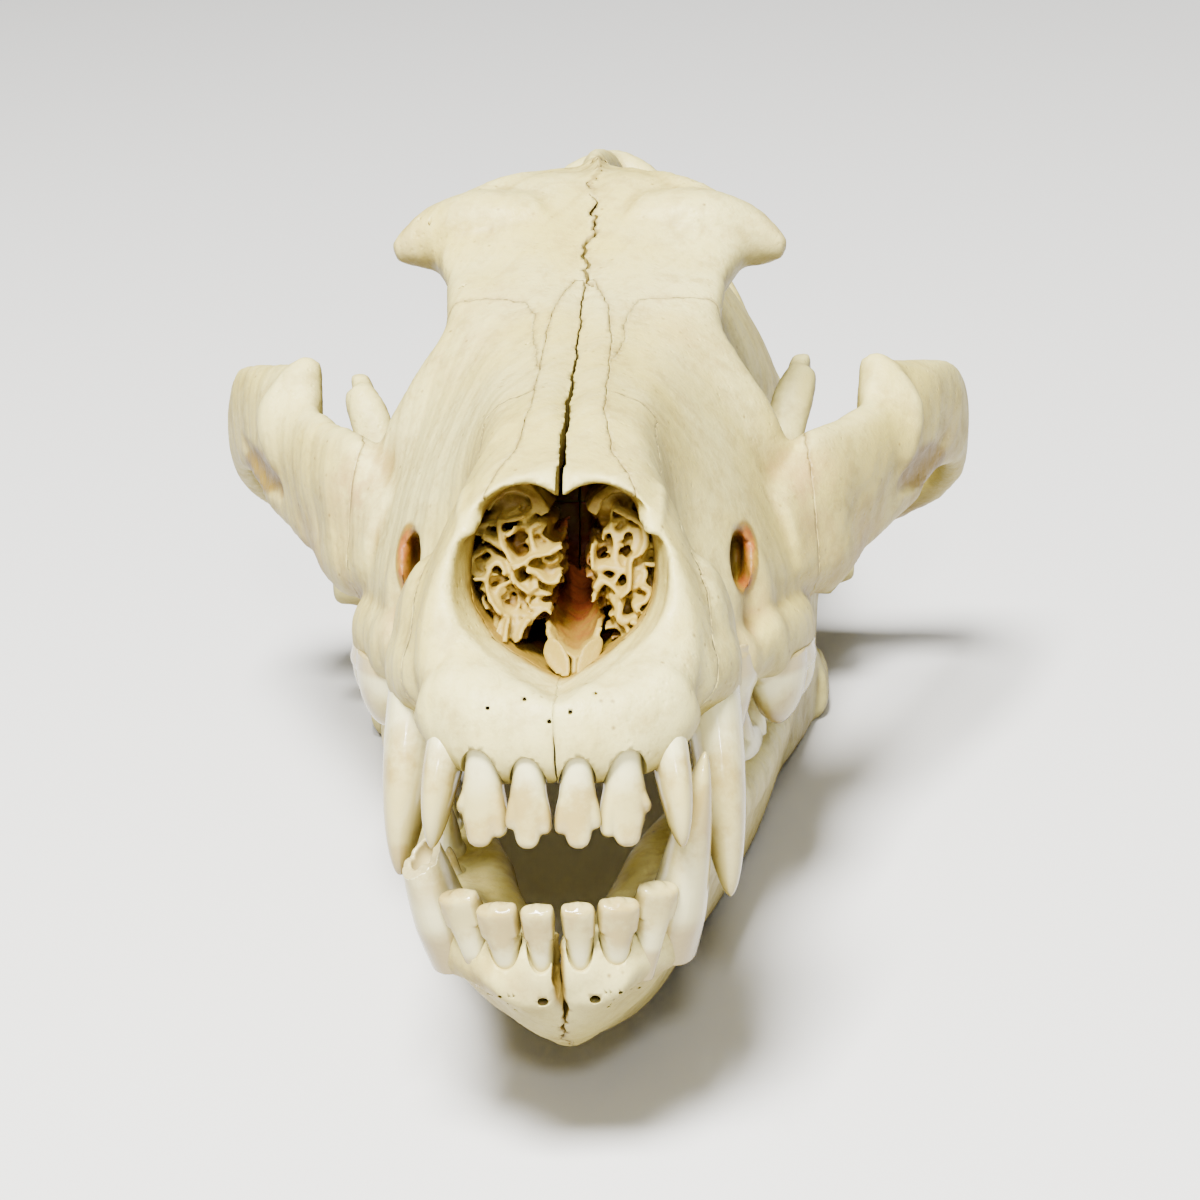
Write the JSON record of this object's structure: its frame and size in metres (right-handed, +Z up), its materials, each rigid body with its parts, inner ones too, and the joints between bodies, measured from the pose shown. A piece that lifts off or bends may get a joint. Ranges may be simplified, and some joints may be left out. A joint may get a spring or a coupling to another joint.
{
  "type": "wolf skull",
  "caption": "Life-size wolf skull, mouth ajar, parted along its main sutures, resting on its lower jaw for display or study.",
  "frame": {"origin": "centre of the bounding box's underside, on the floor the lower jaw rests on", "axes": "+Z up, +X to the animal's left, +Y from the nose back to the occiput"},
  "size_m": [0.1346, 0.264, 0.1061],
  "materials": {
    "bone": "dry bleached bone",
    "scroll_bone": "thin dry bone, stained amber",
    "enamel": "glossy tooth enamel"
  },
  "bodies": {
    "root": {"braincase": "bone", "frontal": "bone", "nasal_left": "bone", "nasal_right": "bone", "premaxilla_left": "bone", "premaxilla_right": "bone", "maxilla_left": "bone", "maxilla_right": "bone", "zygomatic_arch_left": "bone", "zygomatic_arch_right": "bone", "mandible_left": "bone", "mandible_right": "bone", "vomer": "scroll_bone", "turbinate_left": "scroll_bone", "turbinate_right": "scroll_bone"}
  },
  "joints": []
}
